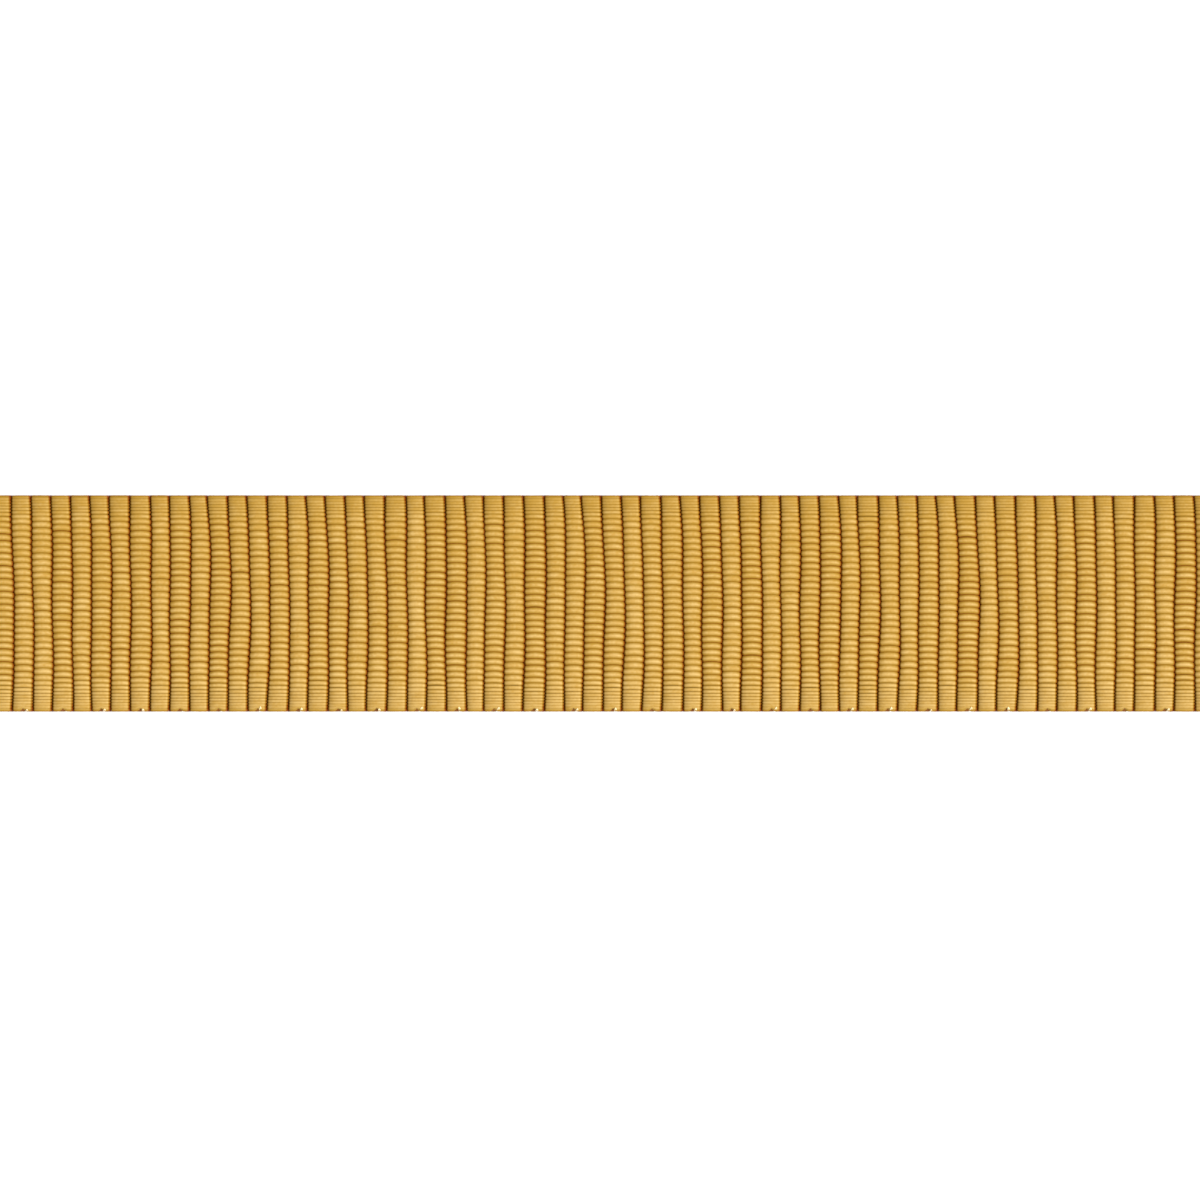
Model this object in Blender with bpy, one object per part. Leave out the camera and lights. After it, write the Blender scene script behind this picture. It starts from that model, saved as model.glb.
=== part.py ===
"""Faille tape trim: a cut length of ribbed woven tape, lying flat with its right side up.

The unit is the metre. X runs along the tape, Y across it and Z up. The origin is the
middle of the underside, on the surface that the tape lies on.

Heavy weft cords lie side by side across the tape, and the warp ends cover them, so that
both sides have one rounded rib for each cord. The ribs stray a little from straight, as
they do in the loom, and the selvedges are thinner than the middle.
"""

import math
from typing import NamedTuple

import bmesh
import bpy

# Driving dimensions, in metres
TAPE_WIDTH = 0.016
THICKNESS = 0.0012
RIB_PITCH = 0.001456
RIB_COUNT = 71
GROOVE_DEPTH = 0.0003

# How far a rib line leans back at each selvedge, and how late the lean begins
UPPER_LEAN = 0.000190
UPPER_LEAN_POWER = 2.2
LOWER_LEAN = 0.000085
LOWER_LEAN_POWER = 1.5

# Each cut runs straight across, so the last ribs straighten towards it
STRAIGHTENING_RIBS = 4

# The shape of one rib: a superellipse with a narrow flat crest
RIB_ROUNDNESS = 2.4
CREST_SHARE = 0.3

# The rounded selvedge, as shares of the half width and of the thickness
SELVEDGE_SHARE = 0.06
SELVEDGE_THICKNESS = 0.45

# Where the faces break: along one rib, and across the tape on each side
RIB_BREAKS = (0.0, 0.12, 0.35, 0.65, 0.88)
RIGHT_SIDE_ROWS = (-1.0, -0.97, -0.7, -0.35, 0.0, 0.35, 0.7, 0.97, 1.0)
BACK_ROWS = (1.0, 0.97, 0.4, -0.4, -0.97, -1.0)

# The yarn's finish
YARN_COLOUR = (0.600, 0.345, 0.085, 1.0)
YARN_ROUGHNESS = 0.5
TOLERANCE = 1e-9


class Stray(NamedTuple):
    """One wave in how the rib lines stray from straight."""

    reach: float  # metres to each side
    ribs: float  # ribs to one wave
    across: float  # waves across the tape's half width
    start: float  # where the wave starts, in turns


STRAYS = (
    Stray(reach=0.000045, ribs=17.0, across=0.35, start=0.10),
    Stray(reach=0.000040, ribs=6.3, across=0.65, start=0.45),
    Stray(reach=0.000030, ribs=2.7, across=1.05, start=0.80),
    Stray(reach=0.000026, ribs=2.2, across=0.20, start=0.30),
)


def lean(across):
    """How far a rib line is set back. Across runs from -1 to 1, lower to upper selvedge."""
    if across > 0:
        return -UPPER_LEAN * across**UPPER_LEAN_POWER
    return -LOWER_LEAN * abs(across) ** LOWER_LEAN_POWER


def strayed(groove, across):
    """How far the waves move a rib line."""
    turns = (groove / s.ribs + across * s.across + s.start for s in STRAYS)
    return sum(s.reach * math.sin(2 * math.pi * t) for s, t in zip(STRAYS, turns))


def groove_x(groove, across):
    """Where the groove before that rib lies along the tape. The cuts are the first and the last one."""
    from_cut = min(groove, RIB_COUNT - groove)
    freedom = min(1.0, from_cut / STRAIGHTENING_RIBS)
    straight = (groove - RIB_COUNT / 2) * RIB_PITCH
    return straight + freedom * (lean(across) + strayed(groove, across))


def rib_height(along):
    """Height of a rib's face above its groove, 0 to 1, at a share of the rib's width."""
    from_crest = abs(2 * along - 1)
    if from_crest <= CREST_SHARE + TOLERANCE:
        return 1.0

    def curve(offset):
        return (1 - offset**RIB_ROUNDNESS) ** (1 / RIB_ROUNDNESS)

    return curve(from_crest) / curve(CREST_SHARE)


def fullness(across):
    """Share of the full thickness at a share of the half width: 1 but for the rounded selvedges."""
    inside = min(1.0, (1 - abs(across)) / SELVEDGE_SHARE)
    rounded = math.sqrt(1 - (1 - inside) ** 2)
    return SELVEDGE_THICKNESS + (1 - SELVEDGE_THICKNESS) * rounded


def section_points(rib, along):
    """The closed section across the tape at a share of one rib's width: the right side, then the back."""
    half_thickness = THICKNESS / 2 - GROOVE_DEPTH * (1 - rib_height(along))
    points = []
    for rows, side in ((RIGHT_SIDE_ROWS, 1), (BACK_ROWS, -1)):
        for across in rows:
            x = groove_x(rib, across) * (1 - along) + groove_x(rib + 1, across) * along
            y = across * TAPE_WIDTH / 2
            z = THICKNESS / 2 + side * half_thickness * fullness(across)
            points.append((x, y, z))
    return points


def tape_mesh():
    """The whole tape as one closed skin: a section at each break of each rib, joined to the next."""
    places = [(rib, along) for rib in range(RIB_COUNT) for along in RIB_BREAKS]
    places.append((RIB_COUNT - 1, 1.0))

    shape = bmesh.new()
    rings = [[shape.verts.new(p) for p in section_points(*place)] for place in places]
    for ring, following in zip(rings, rings[1:]):
        for k in range(len(ring)):
            shape.faces.new((ring[k - 1], ring[k], following[k], following[k - 1]))
    shape.faces.new(rings[0])
    shape.faces.new(rings[-1])
    bmesh.ops.recalc_face_normals(shape, faces=shape.faces)

    mesh = bpy.data.meshes.new("faille_tape")
    shape.to_mesh(mesh)
    shape.free()
    mesh.shade_smooth()
    mesh.set_sharp_from_angle(angle=math.radians(60))
    return mesh


def yarn_material():
    """Old gold yarn with a soft sheen."""
    material = bpy.data.materials.new("gold_yarn")
    material.use_nodes = True
    shader = material.node_tree.nodes["Principled BSDF"]
    shader.inputs["Base Color"].default_value = YARN_COLOUR
    shader.inputs["Roughness"].default_value = YARN_ROUGHNESS
    shader.inputs["Metallic"].default_value = 0.0
    return material


def main():
    for old in list(bpy.data.objects):
        bpy.data.objects.remove(old)
    mesh = tape_mesh()
    mesh.materials.append(yarn_material())
    tape = bpy.data.objects.new("faille_tape", mesh)
    bpy.context.scene.collection.objects.link(tape)


main()
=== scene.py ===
"""Faille tape trim: a straight length of gold ribbed tape, woven yarn by yarn.

Heavy weft cords lie side by side across the tape, and flat warp ends cover them. Each warp
end goes over one cord and under the next, and its neighbours do the opposite, so that both
sides have one rounded rib for each cord. A fine thread catches the lower selvedge.

The unit is the metre. X runs along the tape, Y across it and Z up, as in the solid model.
"""

import logging
import math
from dataclasses import dataclass, field
from enum import Enum

import bpy
import numpy as np
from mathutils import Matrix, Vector

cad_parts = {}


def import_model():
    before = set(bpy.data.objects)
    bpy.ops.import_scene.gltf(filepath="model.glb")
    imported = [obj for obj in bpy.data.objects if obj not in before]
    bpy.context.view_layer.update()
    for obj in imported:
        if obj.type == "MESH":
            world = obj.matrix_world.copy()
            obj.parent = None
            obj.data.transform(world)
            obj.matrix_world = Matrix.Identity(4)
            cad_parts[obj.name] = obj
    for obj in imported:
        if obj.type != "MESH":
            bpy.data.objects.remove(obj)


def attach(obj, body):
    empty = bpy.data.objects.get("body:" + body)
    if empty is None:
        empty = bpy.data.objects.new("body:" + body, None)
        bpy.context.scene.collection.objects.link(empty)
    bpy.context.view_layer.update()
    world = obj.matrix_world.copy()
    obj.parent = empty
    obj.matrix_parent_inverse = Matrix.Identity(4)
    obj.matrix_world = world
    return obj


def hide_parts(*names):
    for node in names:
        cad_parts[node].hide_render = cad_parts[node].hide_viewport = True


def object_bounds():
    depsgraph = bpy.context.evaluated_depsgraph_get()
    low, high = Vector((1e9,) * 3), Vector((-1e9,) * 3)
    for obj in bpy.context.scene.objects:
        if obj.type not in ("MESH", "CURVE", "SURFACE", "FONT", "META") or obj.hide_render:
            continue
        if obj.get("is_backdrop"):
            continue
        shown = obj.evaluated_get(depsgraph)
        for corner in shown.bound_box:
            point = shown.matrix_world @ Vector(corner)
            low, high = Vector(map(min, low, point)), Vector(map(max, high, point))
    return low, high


log = logging.getLogger("faille_tape")

MM = 0.001
BODY = "root"
SOLID = "faille_tape"
UV_MAP = "OFBake"
# the mesh attribute that holds how much shade is painted into the yarns' colour
PAINTED_SHADE_ATTRIBUTE = "painted_groove_shade"
PHOTO_PIXELS = 1200
SHARP_ANGLE = math.radians(75)

Array = np.ndarray
Colour = tuple[float, float, float, float]


class Shed(Enum):
    """Which warp ends are up when the first weft cord goes in: they cover the even or the odd ribs."""

    EVEN = 0
    ODD = 1


class Part(Enum):
    """A third of the tape's width."""

    LOWER = 0
    MIDDLE = 1
    UPPER = 2


@dataclass(frozen=True)
class Stray:
    """One wave in how the rib lines stray from straight.

    Its sizes are the reach to each side in metres, the ribs to one wave, the waves across
    half of the tape's width, and the turn that the wave starts at.
    """

    reach: float
    ribs: float
    across: float
    start: float


@dataclass(frozen=True)
class Ground:
    """The weave's layout: where its ribs, grooves and warp ends lie."""

    width: float
    thickness: float
    pitch: float
    ribs: int

    upper_lean: float = 0.190 * MM
    upper_lean_power: float = 2.2
    lower_lean: float = 0.085 * MM
    lower_lean_power: float = 1.5
    straightening_ribs: float = 4.0
    strays: tuple[Stray, ...] = (
        Stray(reach=0.045 * MM, ribs=17.0, across=0.35, start=0.10),
        Stray(reach=0.040 * MM, ribs=6.3, across=0.65, start=0.45),
        Stray(reach=0.030 * MM, ribs=2.7, across=1.05, start=0.80),
        Stray(reach=0.026 * MM, ribs=2.2, across=0.20, start=0.30),
    )

    selvedge_share: float = 0.06
    selvedge_thickness: float = 0.45

    middle_spacing: float = 0.2345 * MM
    selvedge_spacing: float = 0.105 * MM
    fine_until: float = 0.75 * MM
    upper_full_from: float = 2.35 * MM
    lower_full_from: float = 3.2 * MM
    counting_steps: int = 4000

    jitter: float = 0.026 * MM
    seed: int = 23

    def groove_x(self, groove: Array, y: Array) -> Array:
        """Where a groove lies along the tape.

        The formula is the groove's even place, plus a lean that grows as a power of the
        share of half the width, plus a sum of sines of the groove's number and of the place
        across, plus a small offset of each groove's own. All but the first fade out over the
        last ribs, because each cut runs straight.

        Args:
            groove: the groove's number, from 0 at one cut to the rib count at the other.
            y: the place across the tape, in metres.

        Returns:
            The place along the tape, in metres.
        """
        across = np.clip(y / (self.width / 2), -1, 1)
        moved = -self.upper_lean * np.clip(across, 0, None) ** self.upper_lean_power
        moved = moved - self.lower_lean * np.clip(-across, 0, None) ** self.lower_lean_power
        for s in self.strays:
            turns = groove / s.ribs + across * s.across + s.start
            moved = moved + s.reach * np.sin(2 * np.pi * turns)
        own = np.random.default_rng(self.seed).normal(0, self.jitter, self.ribs + 1)
        moved = moved + np.interp(groove, np.arange(self.ribs + 1), own)
        from_cut = np.clip(np.minimum(groove, self.ribs - groove), 0, None)
        freedom = np.clip(from_cut / self.straightening_ribs, 0, 1)
        return (groove - self.ribs / 2) * self.pitch + freedom * moved

    def x(self, rib: Array, along: Array, y: Array) -> Array:
        """Place along the tape at a share of one rib's width, between its two grooves."""
        return self.groove_x(rib, y) * (1 - along) + self.groove_x(rib + 1, y) * along

    def fullness(self, y: Array) -> Array:
        """How thick the tape is at a place: full, but for a quarter circle down to each selvedge.

        Args:
            y: the place across the tape, in metres.

        Returns:
            The share of the full thickness.
        """
        inside = np.clip((1 - np.abs(y) / (self.width / 2)) / self.selvedge_share, 0, 1)
        rounded = np.sqrt(1 - (1 - inside) ** 2)
        return self.selvedge_thickness + (1 - self.selvedge_thickness) * rounded

    def spacing(self, y: Array) -> Array:
        """Distance between neighbouring warp ends: a smooth step from fine selvedges to the middle.

        Args:
            y: the place across the tape, in metres.

        Returns:
            The distance, in metres.
        """
        from_edge = self.width / 2 - np.abs(y)
        full_from = np.where(y > 0, self.upper_full_from, self.lower_full_from)
        share = np.clip((from_edge - self.fine_until) / (full_from - self.fine_until), 0, 1)
        step = share * share * (3 - 2 * share)
        return self.selvedge_spacing + (self.middle_spacing - self.selvedge_spacing) * step

    def warp_places(self) -> Array:
        """Where the warp ends lie across the tape.

        The spacing's inverse is added up from selvedge to selvedge. That count is rounded to
        an even one, and each end lies where the sum passes its number and a half.

        Returns:
            The places across, in metres, from the lower selvedge to the upper one.
        """
        fine = np.linspace(-self.width / 2, self.width / 2, self.counting_steps + 1)
        density = 1 / self.spacing(fine)
        steps = (density[1:] + density[:-1]) / 2 * np.diff(fine)
        counted = np.concatenate([[0], np.cumsum(steps)])
        ends = 2 * round(counted[-1] / 2)
        return np.interp((np.arange(ends) + 0.5) / ends * counted[-1], counted, fine)


class Tubes:
    """Many closed tubes of the same number of rings and sides, joined in one mesh."""

    def __init__(
        self, path: Array, side: Array, half_width: Array, half_height: Array, sides: int, squareness: float
    ):
        """Works out the rings of all the tubes.

        A ring's points are the path, plus a superellipse in the plane of two directions:
        the given side, turned square to the path, and one square to them both.

        Args:
            path: the middles of the rings, as tubes by rings by 3.
            side: the direction of the section's width, as one vector or as many as the path.
            half_width: half of each section's width, as tubes by rings.
            half_height: half of each section's height, as tubes by rings.
            sides: the number of points in a ring.
            squareness: the superellipse's power, 2 for an ellipse and more for a boxier one.
        """
        tangent = np.gradient(path, axis=1)
        tangent /= np.linalg.norm(tangent, axis=2, keepdims=True)
        side = np.broadcast_to(side, path.shape)
        side = side - (side * tangent).sum(2, keepdims=True) * tangent
        side = side / np.linalg.norm(side, axis=2, keepdims=True)
        up = np.cross(tangent, side)
        turn = 2 * np.pi * np.arange(sides) / sides
        wide, high = (np.sign(f(turn)) * np.abs(f(turn)) ** (2 / squareness) for f in (np.cos, np.sin))
        self.flank = np.abs(wide)
        self.points = (
            path[:, :, None]
            + (half_width[:, :, None] * wide)[..., None] * side[:, :, None]
            + (half_height[:, :, None] * high)[..., None] * up[:, :, None]
        )
        length = np.linalg.norm(np.diff(path, axis=1), axis=2)
        self.along = np.concatenate([np.zeros((len(path), 1)), np.cumsum(length, axis=1)], axis=1)

    def mesh(self, name: str, painted_shade: Array) -> bpy.types.Mesh:
        """Puts the tubes into one mesh with closed ends, a UV map along and round, and the painted shade
        attribute.

        Args:
            name: the mesh's name.
            painted_shade: the shade painted into the colour at each point, from 0 to 1, as tubes by rings by
                sides.

        Returns:
            The mesh, with its faces pointing out.
        """
        tubes, rings, sides, _ = self.points.shape
        corner = np.arange(tubes * rings * sides).reshape(tubes, rings, sides)
        following = np.roll(corner, -1, axis=2)
        walls = np.stack([corner[:, :-1], following[:, :-1], following[:, 1:], corner[:, 1:]], axis=3)
        ends = np.concatenate([corner[:, 0, ::-1], corner[:, -1]])
        loops = np.concatenate([walls.ravel(), ends.ravel()])
        starts = np.concatenate([np.arange(walls.size // 4) * 4, walls.size + np.arange(len(ends)) * sides])

        counts = (np.arange(tubes), np.arange(rings), np.arange(sides + 1))
        tube, ring, side = np.meshgrid(*counts, indexing="ij")
        u = np.broadcast_to((self.along / self.along.max())[:, :, None], tube.shape)
        v = (tube + side / sides) / tubes
        uv = np.stack([u, v], axis=3)
        wall_uv = np.stack([uv[:, :-1, :-1], uv[:, :-1, 1:], uv[:, 1:, 1:], uv[:, 1:, :-1]], axis=3)
        end_uv = np.concatenate([uv[:, 0, -2::-1], uv[:, -1, :-1]])

        mesh = bpy.data.meshes.new(name)
        mesh.vertices.add(corner.size)
        mesh.vertices.foreach_set("co", self.points.astype(np.float32).ravel())
        mesh.loops.add(len(loops))
        mesh.loops.foreach_set("vertex_index", loops.astype(np.int32))
        mesh.polygons.add(len(starts))
        mesh.polygons.foreach_set("loop_start", starts.astype(np.int32))
        mesh.update(calc_edges=True)
        uvs = mesh.uv_layers.new(name=UV_MAP)
        uvs.data.foreach_set("uv", np.concatenate([wall_uv.ravel(), end_uv.ravel()]).astype(np.float32))
        shade = mesh.attributes.new(PAINTED_SHADE_ATTRIBUTE, "FLOAT", "POINT")
        painted_shade = np.broadcast_to(painted_shade, corner.shape)
        shade.data.foreach_set("value", painted_shade.astype(np.float32).ravel())
        mesh.shade_smooth()
        mesh.set_sharp_from_angle(angle=SHARP_ANGLE)
        return mesh


class Nodes:
    """A short way to write one material's nodes."""

    def __init__(self, name: str):
        """Starts a material whose only nodes are the shader and the output.

        Args:
            name: the material's name.
        """
        self.material = bpy.data.materials.new(name)
        self.material.use_nodes = True
        self.tree = self.material.node_tree
        self.shader = self.tree.nodes["Principled BSDF"]

    def put(self, socket: bpy.types.NodeSocket, value: object) -> None:
        """Links a socket to another one, or sets it to a constant.

        Args:
            socket: the input to fill.
            value: another node's output, or the constant.
        """
        if isinstance(value, bpy.types.NodeSocket):
            self.tree.links.new(value, socket)
        else:
            socket.default_value = value

    def add(self, kind: str, inputs: dict, output: int | str = 0, **settings: object) -> bpy.types.NodeSocket:
        """Adds one node.

        Args:
            kind: the node's type.
            inputs: values or sockets, by the input's name or number.
            output: the name or number of the output that is wanted.
            settings: the node's own properties.

        Returns:
            The output socket.
        """
        node = self.tree.nodes.new(kind)
        for key, value in settings.items():
            setattr(node, key, value)
        for key, value in inputs.items():
            self.put(node.inputs[key], value)
        return node.outputs[output]

    def maths(self, operation: str, *values: object) -> bpy.types.NodeSocket:
        """One sum on numbers."""
        return self.add("ShaderNodeMath", dict(enumerate(values)), operation=operation)

    def mix(self, share: object, low: object, high: object) -> bpy.types.NodeSocket:
        """A mix of two colours."""
        inputs = {0: share, 6: low, 7: high}
        return self.add("ShaderNodeMix", inputs, output=2, data_type="RGBA")

    def vary(self, base: object, noise: object, contrast: float) -> bpy.types.NodeSocket:
        """A value with noise around it, which stays as it is where the noise is in its middle."""
        return self.maths("MULTIPLY_ADD", noise, contrast, self.maths("ADD", base, -contrast / 2))

    def noise(self, place: object, scale: float, detail: float, roughness: float) -> bpy.types.NodeSocket:
        """Smooth noise from 0 to 1 at a place."""
        inputs = {"Vector": place, "Scale": scale, "Detail": detail, "Roughness": roughness}
        return self.add("ShaderNodeTexNoise", inputs)


@dataclass(frozen=True)
class YarnFinish:
    """Old gold yarn of many fine filaments with a soft satin sheen.

    The colour is paler on some stretches and warmer on others, and painted light makes it a
    little paler towards the lower selvedge. Painted shade darkens it to a dull gold between
    two yarns, and to a red brown at the bottom of the grooves. Fine filaments run along each
    yarn with a slow twist.
    """

    name: str = "gold_yarn"
    pale: Colour = (0.511, 0.342, 0.121, 1)
    warm: Colour = (0.401, 0.232, 0.048, 1)
    # painted shade: the dull gold between two yarns and the red brown at the bottom of the grooves stand for
    # shade that falls there
    between: Colour = (0.284, 0.155, 0.015, 1)
    deep: Colour = (0.154, 0.027, 0.0002, 1)
    roughness: float = 0.505
    roughness_contrast: float = 0.25
    gloss: float = 0.09

    patches_per_mm: float = 0.75
    patch_contrast: float = 1.9
    patch_jump: float = 3.7
    specks_per_mm: float = 5.0
    speck_contrast: float = 1.2
    # painted light: how much paler the yarn gets per millimetre towards the lower selvedge, standing in for
    # stronger light there
    painted_light_slope_per_mm: float = 0.03

    filaments_round: float = 11.0
    filament_length: float = 0.9
    filament_contrast: float = 0.7
    filament_jump: float = 7.3
    twist_per_mm: float = 0.22
    relief: float = 0.009 * MM
    relief_strength: float = 0.8

    def material(self, length: float, yarns: int) -> bpy.types.Material:
        """Builds the material for one set of yarns.

        How pale a yarn is comes from a slow slope across the tape, which is painted light, and
        three noises: long patches, specks and filaments. The painted shade attribute then mixes
        in the dull gold of painted shade between yarns, which it reaches at a half, and from
        there the red brown of painted shade in the grooves, which it reaches at 1.

        Args:
            length: the yarns' own length in metres, which the UV map's U spans.
            yarns: how many yarns share the UV map's V.

        Returns:
            The material.
        """
        n = Nodes(self.name)
        uv = n.add("ShaderNodeUVMap", {}, uv_map=UV_MAP)
        u = n.add("ShaderNodeSeparateXYZ", {0: uv}, output=0)
        v = n.add("ShaderNodeSeparateXYZ", {0: uv}, output=1)
        along = n.maths("MULTIPLY", u, length / MM)
        counted = n.maths("MULTIPLY", v, float(yarns))
        yarn = n.maths("FLOOR", counted)
        turned = n.maths("MULTIPLY_ADD", along, self.twist_per_mm, counted)
        place = n.add(
            "ShaderNodeCombineXYZ",
            {
                0: n.maths("DIVIDE", along, self.filament_length),
                1: n.maths("MULTIPLY", turned, self.filaments_round),
                2: n.maths("MULTIPLY", yarn, self.filament_jump),
            },
        )
        filaments = n.noise(place, scale=1.0, detail=3.0, roughness=0.6)
        jump = n.maths("MULTIPLY", yarn, self.patch_jump)
        stretch = n.add("ShaderNodeCombineXYZ", {0: along, 1: jump, 2: 0.0})
        patches = n.noise(stretch, self.patches_per_mm, detail=2.0, roughness=0.55)
        solid = n.add("ShaderNodeTexCoord", {}, output="Object")
        specks = n.noise(solid, self.specks_per_mm / MM, detail=1.0, roughness=0.5)
        across = n.add("ShaderNodeSeparateXYZ", {0: solid}, output=1)

        patched = n.vary(0.5, patches, self.patch_contrast)
        # painted light: a slope across the tape makes the yarn paler towards the lower selvedge
        painted_light_toned = n.maths("MULTIPLY_ADD", across, -self.painted_light_slope_per_mm / MM, patched)
        speckled = n.vary(painted_light_toned, specks, self.speck_contrast)
        streaked = n.vary(speckled, filaments, self.filament_contrast)
        body = n.mix(n.add("ShaderNodeClamp", {0: streaked}), self.warm, self.pale)
        # painted shade: dull gold between yarns, then red brown at the bottom of the grooves
        painted_shade = n.add("ShaderNodeAttribute", {}, output="Fac", attribute_name=PAINTED_SHADE_ATTRIBUTE)
        shaded = n.mix(n.add("ShaderNodeClamp", {0: n.maths("MULTIPLY", painted_shade, 2.0)}), body, self.between)
        groove_shade_share = n.add("ShaderNodeClamp", {0: n.maths("MULTIPLY_ADD", painted_shade, 2.0, -1.0)})
        n.put(n.shader.inputs["Base Color"], n.mix(groove_shade_share, shaded, self.deep))
        rough = n.vary(self.roughness, filaments, self.roughness_contrast)
        n.put(n.shader.inputs["Roughness"], rough)
        raised = {"Height": filaments, "Strength": self.relief_strength, "Distance": self.relief}
        n.put(n.shader.inputs["Normal"], n.add("ShaderNodeBump", raised))
        n.shader.inputs["Specular IOR Level"].default_value = self.gloss
        return n.material


def piece(mesh: bpy.types.Mesh, material: bpy.types.Material) -> bpy.types.Object:
    """Makes a dressed piece that rides with the tape.

    Args:
        mesh: the piece's mesh, whose name becomes the piece's.
        material: the piece's finish.

    Returns:
        The piece's object, at the origin.
    """
    mesh.materials.append(material)
    made = bpy.data.objects.new(mesh.name, mesh)
    bpy.context.scene.collection.objects.link(made)
    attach(made, BODY)
    return made


@dataclass
class WarpEnds:
    """The warp: flat yarns along the tape, each over one weft cord and under the next.

    The first sizes are the yarns' own, the next ones say how they lie, and the last ones
    say how much shade is painted into their colour towards a groove, between neighbouring
    ends, at the selvedges and in a dark border at the edge.
    """

    ground: Ground
    finish: YarnFinish

    thickness: float = 0.25 * MM
    selvedge_thickness: float = 0.13 * MM
    groove_thickness: float = 0.22 * MM
    selvedge_groove: float = 0.6
    squareness: float = 2.1
    overlap: float = 1.10
    edge_overlap: float = 1.50
    plain_width: float = 0.75 * MM
    spread_gain: float = 1.35
    spread_power: float = 1.5
    sides: int = 8

    rib_roundness: float = 3.3
    run_out_power: float = 3.2
    run_out_softness: float = 1.2
    left_droop: float = 0.070 * MM
    right_droop: float = 0.150 * MM
    droop_power: float = 2.5
    dip: float = 0.009 * MM
    deepest_dip: float = 0.020 * MM
    sway: float = 0.015 * MM
    edge_power: float = 8
    width_variety: float = 0.02
    seed: int = 11
    notch: float = 0.34 * MM
    notch_reach: float = 0.30 * MM
    notch_share: float = 0.3
    stub: float = 0.13
    ring_shares: tuple[float, ...] = (0.0, 0.062, 0.112, 0.31, 0.5, 0.73, 0.850, 0.914)

    # painted shade: from here on, how much shade is painted into the colour in the grooves, between
    # neighbouring ends, at the selvedges and in a dark border at the edge
    dark_share: float = 0.070
    light_share: float = 0.135
    left_shift: float = 0.016
    right_shift: float = 0.029
    teeth: float = 0.030
    cut_shade: float = 0.3
    crevice_shade: float = 0.74
    flank_power: float = 1.8
    fine_crevice_shade: float = 0.35
    flank_crevice_shade: float = 0.25
    rib_variety: float = 2.0
    upper_selvedge_shade: float = 0.20
    lower_selvedge_shade: float = 0.12
    edge_shade: float = 0.16
    rim_shade: float = 0.5
    notch_rim_shade: float = 0.45
    rim_width: float = 0.24 * MM
    places: Array = field(init=False)

    def __post_init__(self) -> None:
        """Finds where the ends lie across the tape."""
        self.places = self.ground.warp_places()

    def rings(self) -> tuple[Array, Array]:
        """Where the rings of every end lie, with a short stub past each cut.

        Returns:
            The rib's number and the share of that rib's width, for each ring.
        """
        ribs = np.repeat(np.arange(self.ground.ribs), len(self.ring_shares))
        shares = np.tile(self.ring_shares, self.ground.ribs)
        ribs = np.concatenate([[0], ribs, [self.ground.ribs - 1] * 2]).astype(float)
        shares = np.concatenate([[-self.stub], shares, [1.0, 1 + self.stub]])
        return ribs, shares

    def rise(self, ribs: Array, shares: Array) -> Array:
        """How high an end's middle lies over the tape's own middle, as a share of its greatest height.

        The formula is a superellipse over each rib. On the outer half of the first and the
        last rib it is a softer curve, stretched to come down at the tip of the stub.

        Args:
            ribs: the rib's number for each ring.
            shares: the share of the rib's width for each ring.

        Returns:
            The share for each ring, from 0 to 1.
        """
        off_middle = 2 * shares - 1
        power = self.rib_roundness
        over = np.clip(1 - np.abs(off_middle) ** power, 0, 1) ** (1 / power)
        outer = ((ribs == 0) & (off_middle < 0)) | ((ribs == self.ground.ribs - 1) & (off_middle > 0))
        run_out = np.abs(off_middle) / (1 + 2 * self.stub)
        softer = np.clip(1 - run_out**self.run_out_power, 0, 1) ** self.run_out_softness
        return np.where(outer, softer, over)

    def zones(self, place: Array) -> tuple[Array, Array]:
        """Where an end lies between the selvedge and the full spacing, and in the plain strip at the edge.

        Args:
            place: the ends' places across the tape.

        Returns:
            A share that is 0 where the spacing is finest and 1 where it is full, and a share
            that is 1 at the very edge and 0 from the plain strip's width inwards.
        """
        g = self.ground
        full = (g.spacing(place) - g.selvedge_spacing) / (g.middle_spacing - g.selvedge_spacing)
        plain = np.clip(1 - (g.width / 2 - np.abs(place)) / self.plain_width, 0, 1)
        return full, plain

    def notched(self, ribs: Array, shares: Array) -> Array:
        """1 in the middle of an even rib, where the catch thread pulls the edge in, and else 0."""
        return np.where((ribs % 2 == 0) & (np.abs(2 * shares - 1) < self.notch_share), 1.0, 0.0)

    def across(self, place: Array, up: Array, ribs: Array, shares: Array, sway: Array) -> Array:
        """Where the middles of the rings lie across the tape.

        The formula is the end's own place, minus a power of the place off the rib's middle
        where the end is up, or a straight run between the same two levels where it is down,
        plus a small sway. Both fade out towards the selvedges. On every even rib a bell
        curve pulls the lowest ends in from the edge, which leaves a small notch.

        Args:
            place: the ends' places across the tape, as ends by 1.
            up: 1 where an end is up and -1 where it is down, as ends by rings.
            ribs: the rib's number for each ring.
            shares: the share of the rib's width for each ring.
            sway: how far each end strays on each rib, as ends by rings.

        Returns:
            The places across, as ends by rings.
        """
        full, _ = self.zones(place)
        half = self.ground.width / 2
        off_middle = 2 * shares - 1
        droop = np.where(off_middle < 0, self.left_droop, self.right_droop)
        over = droop * np.abs(off_middle) ** self.droop_power
        under = self.right_droop * (1 - shares) + self.left_droop * shares
        bow = (self.left_droop + self.right_droop) / 4 - np.where(up > 0, over[None], under[None])
        inside = 1 - np.abs(place / half) ** self.edge_power
        y = place + inside * full * (bow + sway)
        pulled = np.exp(-(((place + half) / self.notch_reach) ** 2))
        return y + self.notch * self.notched(ribs, shares) * pulled

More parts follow.
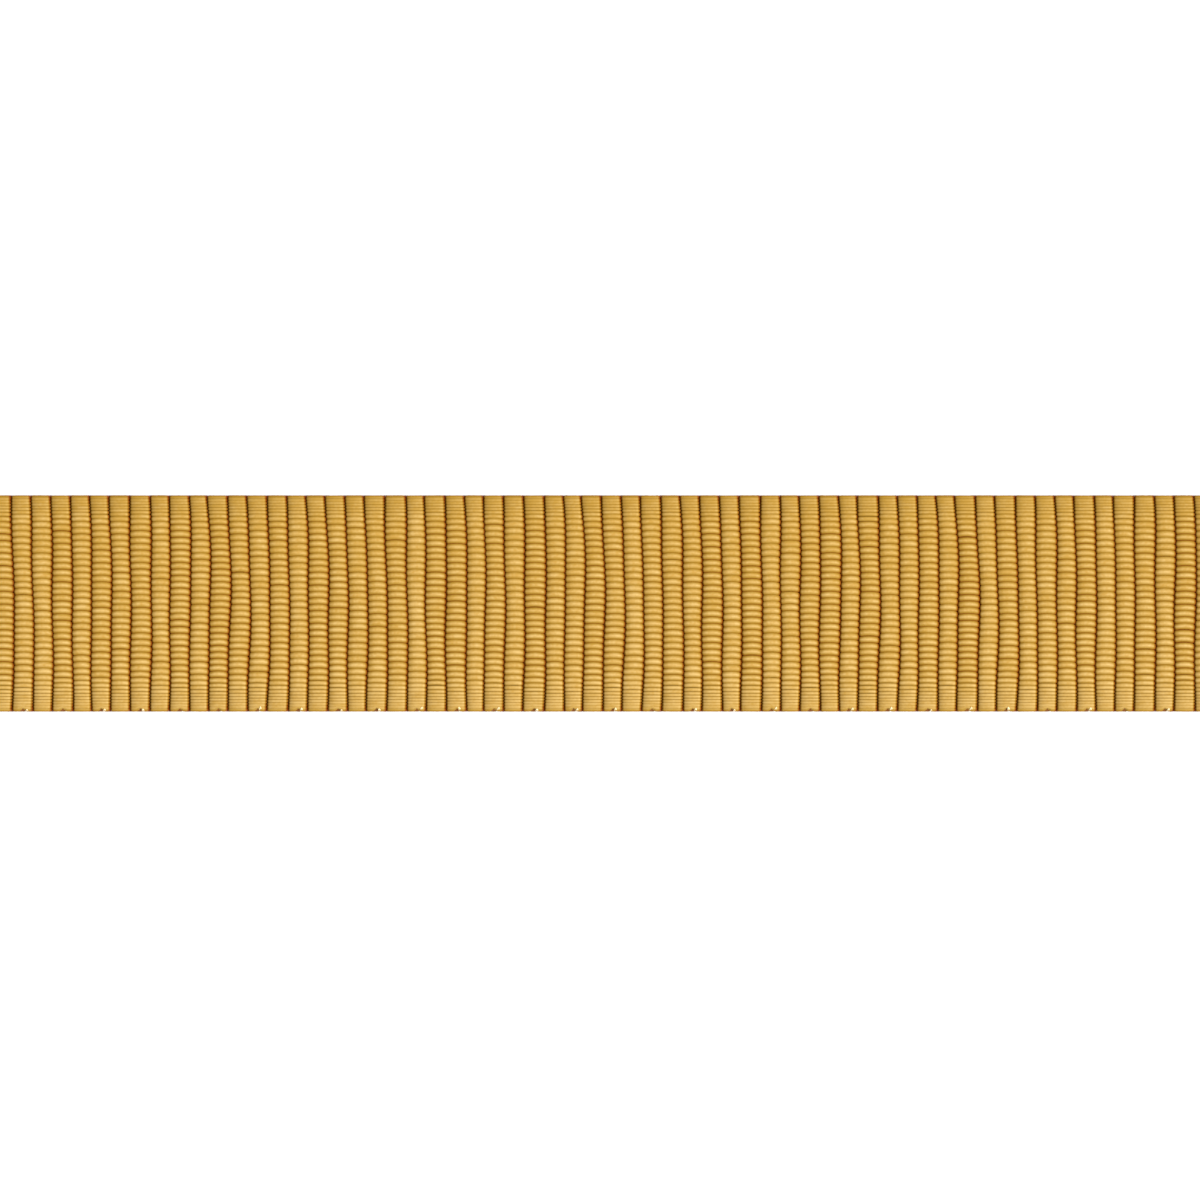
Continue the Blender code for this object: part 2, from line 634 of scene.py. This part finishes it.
    def painted_shade(self, made: Tubes, place: Array, up: Array, ribs: Array, shares: Array) -> Array:
        """How much shade is painted into the colour at each point of the ends.

        Three painted shades are joined, as 1 minus the product of 1 minus each. The first,
        painted shade in the grooves, falls off in a straight line on both sides of a groove, a
        little sooner on the ends that are up near the selvedges. The second, painted shade
        between neighbouring ends, grows with a power of the place on the end's flank, more on
        wide ribs and towards the grooves, and has an even painted shade near the selvedges.
        The third, a painted dark border, grows over the last quarter millimetre at the edge,
        more in the notches.

        Args:
            made: the ends' tubes.
            place: the ends' places across the tape, as ends by 1.
            up: 1 where an end is up and -1 where it is down, as ends by rings.
            ribs: the rib's number for each ring.
            shares: the share of the rib's width for each ring.

        Returns:
            The painted shade from 0 to 1, as ends by rings by sides.
        """
        g = self.ground
        full, plain = self.zones(place)
        # painted shade in the grooves, fading out towards the rib's middle
        from_groove = np.minimum(shares + self.left_shift, 1 - shares - self.right_shift)
        from_groove = from_groove + up * self.teeth * (1 - full) * (1 - plain)
        groove = np.clip((self.light_share - from_groove) / (self.light_share - self.dark_share), 0, 1)
        at_cut = (ribs + shares < 0.5) | (ribs + shares > g.ribs - 0.5)
        groove = np.where(at_cut, np.minimum(groove, self.cut_shade), groove)

        # painted shade between neighbouring ends, stronger on wide ribs, plus an even painted shade near the
        # selvedges
        middle = np.zeros_like(ribs)
        rib_width = (g.groove_x(ribs + 1, middle) - g.groove_x(ribs, middle)) / g.pitch
        crevice_shade = 1 + self.rib_variety * (rib_width - 1) + self.flank_crevice_shade * np.abs(2 * shares - 1)
        crevice_shade = self.crevice_shade * crevice_shade * (self.fine_crevice_shade + (1 - self.fine_crevice_shade) * full) * (1 - plain)
        selvedge = np.where(place > 0, self.upper_selvedge_shade, self.lower_selvedge_shade) * (1 - full)
        selvedge = selvedge + self.edge_shade * plain
        crevice_shade = np.clip(crevice_shade[:, :, None] * made.flank**self.flank_power + selvedge[:, :, None], 0, 1)

        # a painted dark border at the edge, darker in the lower notches, where shade falls
        rim_shade = self.rim_shade + self.notch_rim_shade * self.notched(ribs, shares) * (place < 0)
        outside = (np.abs(made.points[..., 1]) - g.width / 2) / self.rim_width + 1
        rim_shade = rim_shade[:, :, None] * np.clip(outside, 0, 1)
        return 1 - (1 - groove[:, :, None]) * (1 - crevice_shade) * (1 - rim_shade)

    def tubes(self, chosen: Array) -> tuple[Tubes, Array]:
        """Works out some of the ends.

        An end's middle is at the ground's place along and at the rise times the greatest
        height, up on its own ribs and down on the others. On a rib it is a little wider than
        two spacings, so that it meets the next end that is up, and more so at the very edge.
        In a groove it is squeezed to half of that. Small seeded changes of its place, height
        and width follow a parabola that is 1 in a rib's middle and 0 at its grooves.

        Args:
            chosen: the numbers of the ends, counted from the lower selvedge.

        Returns:
            The tubes, and the shade painted into the colour at each of their points.
        """
        g = self.ground
        ribs, shares = self.rings()
        place = self.places[chosen][:, None]
        full, plain = self.zones(place)
        rise = self.rise(ribs, shares)[None]
        up = np.where((ribs[None] + chosen[:, None]) % 2 == 0, 1.0, -1.0)

        loose = np.clip(4 * shares * (1 - shares), 0, 1)
        uneven = np.random.default_rng(self.seed).normal(0, 1, (3, len(self.places), g.ribs))
        sway, dip, width = uneven[:, chosen][:, :, ribs.astype(int)] * loose

        thick = self.selvedge_thickness + (self.thickness - self.selvedge_thickness) * full
        top = g.thickness / 2 * g.fullness(place) - thick / 2
        top = top - np.clip(self.dip * dip, 0, self.deepest_dip)
        z = g.thickness / 2 + up * rise * top

        spread = np.clip(rise * self.spread_gain, 0, 1) ** self.spread_power
        overlap = self.overlap + (self.edge_overlap - self.overlap) * plain
        half_width = overlap * g.spacing(place) * (1 + spread) / 2 * (1 + self.width_variety * width)
        in_groove = self.groove_thickness * (self.selvedge_groove + (1 - self.selvedge_groove) * full)
        half_height = (in_groove + (thick - in_groove) * spread) / 2

        y = self.across(place, up, ribs, shares, self.sway * sway)
        y = np.clip(y, half_width - g.width / 2, g.width / 2 - half_width)
        x = g.x(ribs[None], shares[None], y)
        path = np.stack(np.broadcast_arrays(x, y, z), axis=2)
        made = Tubes(path, np.array([0.0, 1.0, 0.0]), half_width, half_height, self.sides, self.squareness)
        return made, self.painted_shade(made, place, up, ribs, shares)

    def build(self, shed: Shed, part: Part) -> bpy.types.Object:
        """Builds and dresses the ends of one shed in one third of the tape's width.

        Args:
            shed: which ribs the ends cover.
            part: which third of the width.

        Returns:
            The piece.
        """
        all_ends = np.arange(len(self.places))
        in_part = all_ends * len(Part) // len(all_ends) == part.value
        chosen = all_ends[(all_ends % 2 == shed.value) & in_part]
        made, painted_shade = self.tubes(chosen)
        mesh = made.mesh(f"warp_{shed.name.lower()}_{part.name.lower()}", painted_shade)
        return piece(mesh, self.finish.material(made.along.max(), len(chosen)))


@dataclass
class WeftCords:
    """The weft: one heavy cord across the tape under each rib, hidden but for its ends."""

    ground: Ground
    finish: YarnFinish
    cover: float = 0.22 * MM
    gap: float = 0.15 * MM
    from_edge: float = 0.03 * MM
    cut_inset: float = 0.07 * MM
    cut_width: float = 0.8
    tip_share: float = 0.6

    # painted shade in the cords' colour: dark where they show between the ends, darkest at the lower ends in
    # the notches
    painted_shade: float = 0.6
    upper_end_shade: float = 0.2
    lower_end_shade: float = 0.9
    end_zone: float = 0.45
    sides: int = 12
    squareness: float = 2.6
    row_shares: tuple[float, ...] = (-1, -0.985, -0.95, -0.7, -0.4, -0.1, 0.2, 0.5, 0.75, 0.95, 0.985, 1)

    def build(self) -> bpy.types.Object:
        """Builds the cords as tubes across the tape, in the middle between two grooves.

        Their colour has painted shade, as if they lay deep between the yarns, most of all at
        their lower ends, which show in the notches, and least at their upper ends.

        Returns:
            The piece, which stands for the solid tape.
        """
        g = self.ground
        rib = np.arange(g.ribs, dtype=float)[:, None]
        y = np.array(self.row_shares)[None] * (g.width / 2 - self.from_edge) + 0 * rib
        outer = (rib == 0) | (rib == g.ribs - 1)
        inwards = self.cut_inset * ((rib == 0) * 1.0 - (rib == g.ribs - 1))
        x = g.x(rib, np.full_like(y, 0.5), y) + inwards
        z = np.full_like(y, g.thickness / 2)
        full = g.fullness(y) * np.where(np.abs(self.row_shares) == 1, self.tip_share, 1.0)[None]
        half_width = (g.pitch / 2 - self.gap) * np.where(outer, self.cut_width, 1.0) * full
        half_height = (g.thickness / 2 - self.cover) * full
        path = np.stack([x, y, z], axis=2)
        made = Tubes(path, np.array([1.0, 0.0, 0.0]), half_width, half_height, self.sides, self.squareness)
        painted_shade = np.where(y > self.end_zone * g.width, self.upper_end_shade, self.painted_shade)
        painted_shade = np.where(y < -self.end_zone * g.width, self.lower_end_shade, painted_shade)
        mesh = made.mesh("weft_cords", painted_shade[:, :, None])
        return piece(mesh, self.finish.material(made.along.max(), g.ribs))


@dataclass
class CatchThread:
    """The fine thread that catches the weft along the lower selvedge.

    It has a small pale loop at every second rib, whose pale colour is partly the thread's
    own and partly a painted glint, and painted shade makes it darker between the loops.
    """

    ground: Ground
    finish: YarnFinish
    thickness: float = 0.10 * MM
    edge_height: float = 0.5
    # painted shade where the thread runs hidden along the edge
    hidden_shade: float = 0.60
    loop_share: float = 0.68
    loop_reach: float = 0.32 * MM
    loop_lean: float = 0.18 * MM
    loop_sharpness: float = 130.0
    laid_over_from: float = 0.25
    shortest_loop: float = 0.10
    seed: int = 5
    rings_per_stitch: int = 24
    sides: int = 8

    def build(self) -> bpy.types.Object:
        """Builds the thread as one long tube.

        It runs along the selvedge at the tape's mid height. Once in two ribs it rises over
        the edge, reaches in over the rib and comes back: a bump that is a high power of a
        cosine of the place along. Each loop has its own length and leans its own way, and
        the rings lie closer together at the loops.

        Returns:
            The piece.
        """
        g = self.ground
        stitches = (g.ribs - 1) // 2
        turn = np.arange(stitches * self.rings_per_stitch + 1) / self.rings_per_stitch
        stitch = np.round(turn).astype(int)
        from_loop = 2 * (turn - stitch)
        from_loop = np.sign(from_loop) * from_loop**2 / 2
        least = [[self.shortest_loop], [-1]]
        loops = np.random.default_rng(self.seed).uniform(least, 1.0, (2, stitches + 1))
        length, lean = loops[:, stitch]
        lift = np.cos(2 * np.pi * from_loop) * (np.abs(from_loop) < 0.25)
        lift = length * lift**self.loop_sharpness
        y = -g.width / 2 + self.thickness / 2 + self.loop_reach * lift
        x = g.groove_x(self.loop_share + 2 * (stitch + from_loop), y) + self.loop_lean * lean * lift
        face = g.thickness / 2 * (1 + g.fullness(y))
        face = np.minimum(face, g.thickness - self.thickness / 2)
        over = np.clip(lift / self.laid_over_from, 0, 1)
        z = g.thickness * self.edge_height * (1 - over) + face * over
        path = np.stack([x, y, z], axis=1)[None]
        half = np.full((1, len(turn)), self.thickness / 2)
        made = Tubes(path, np.array([0.0, 1.0, 0.0]), half, half, self.sides, 2.0)
        mesh = made.mesh("catch_thread", self.hidden_shade * (1 - over)[None, :, None])
        return piece(mesh, self.finish.material(made.along.max(), 1))


@dataclass
class Studio:
    """The floor, the soft light and the camera straight above."""

    floor_reach: float = 3.0
    floor_white: Colour = (0.92, 0.92, 0.92, 1)
    floor_roughness: float = 0.9
    floor_gloss: float = 0.1
    surround: float = 0.555
    key_place: tuple[float, float, float] = (2.28, -0.12, 3.12)
    key_size: float = 1.80
    key_power: float = 279.2

    view_width: float = 88.9 * MM
    photo_middle: tuple[float, float] = (594.3, 603.5)
    lens: float = 200.0
    sensor: float = 36.0
    clip: tuple[float, float] = (0.01, 10.0)

    def floor(self) -> None:
        """Lays a plain white floor under the tape."""
        mesh = bpy.data.meshes.new("floor")
        reach = self.floor_reach
        corners = [(-reach, -reach, 0), (reach, -reach, 0), (reach, reach, 0), (-reach, reach, 0)]
        mesh.from_pydata(corners, [], [(0, 1, 2, 3)])
        n = Nodes("floor_white")
        n.shader.inputs["Base Color"].default_value = self.floor_white
        n.shader.inputs["Roughness"].default_value = self.floor_roughness
        n.shader.inputs["Specular IOR Level"].default_value = self.floor_gloss
        mesh.materials.append(n.material)
        floor = bpy.data.objects.new("floor", mesh)
        bpy.context.scene.collection.objects.link(floor)
        floor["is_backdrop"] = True

    def softbox(self, name: str, place: tuple[float, float, float], size: float, power: float) -> None:
        """Hangs a square soft light that faces the tape.

        Args:
            name: the light's name.
            place: where its middle hangs, in metres.
            size: its side, in metres.
            power: its power, in watts.
        """
        light = bpy.data.lights.new(name, "AREA")
        light.shape, light.size, light.energy = "SQUARE", size, power
        lamp = bpy.data.objects.new(name, light)
        lamp.location = place
        lamp.rotation_mode = "QUATERNION"
        lamp.rotation_quaternion = (-Vector(place)).to_track_quat("-Z", "Y")
        bpy.context.scene.collection.objects.link(lamp)

    def light(self) -> None:
        """Sets a white surround and one large softbox, above and to the right."""
        world = bpy.data.worlds.new("surround")
        world.use_nodes = True
        background = world.node_tree.nodes["Background"]
        background.inputs["Color"].default_value = (1, 1, 1, 1)
        background.inputs["Strength"].default_value = self.surround
        bpy.context.scene.world = world
        self.softbox("key", self.key_place, self.key_size, self.key_power)

    def camera(self) -> None:
        """Puts a long lens straight above, so that the photo's width spans the view."""
        data = bpy.data.cameras.new("camera")
        data.lens, data.sensor_width, data.sensor_fit = self.lens, self.sensor, "HORIZONTAL"
        data.clip_start, data.clip_end = self.clip
        camera = bpy.data.objects.new("camera", data)
        distance = self.view_width * self.lens / self.sensor
        across, down = (middle / PHOTO_PIXELS - 0.5 for middle in self.photo_middle)
        camera.location = (-across * self.view_width, down * self.view_width, distance)
        bpy.context.scene.collection.objects.link(camera)
        bpy.context.scene.camera = camera

    def build(self) -> None:
        """Sets up the whole studio, and colours shown as they are."""
        self.floor()
        self.light()
        self.camera()
        bpy.context.scene.view_settings.view_transform = "Standard"


def main() -> None:
    """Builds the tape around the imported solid, piece by piece."""
    logging.basicConfig(level=logging.INFO, format="%(name)s: %(message)s")
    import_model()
    solid_box = [list(corner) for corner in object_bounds()]
    low, high = (np.array(corner) for corner in solid_box)

    ribs = 71
    length, width, thickness = high - low
    ground = Ground(width=width, thickness=thickness, pitch=length / ribs, ribs=ribs)
    yarn = YarnFinish()

    weft = WeftCords(ground, yarn).build()
    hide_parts(SOLID)
    log.info("weft cords: %d under as many ribs", ribs)

    warp = WarpEnds(ground, yarn)
    going_with = [warp.build(shed, part) for shed in Shed for part in Part]
    log.info("warp: %d ends in %d pieces", len(warp.places), len(going_with))

    # the catch thread's pale colour: partly the thread's own, partly a painted glint on its shiny loops
    pale_yarn_with_painted_glint = YarnFinish(name="pale_yarn_with_painted_glint", pale=(0.78, 0.62, 0.36, 1), warm=(0.68, 0.48, 0.20, 1))
    going_with.append(CatchThread(ground, pale_yarn_with_painted_glint).build())
    log.info("catch thread along the lower selvedge")

    Studio().build()


if __name__ == "__main__":
    main()
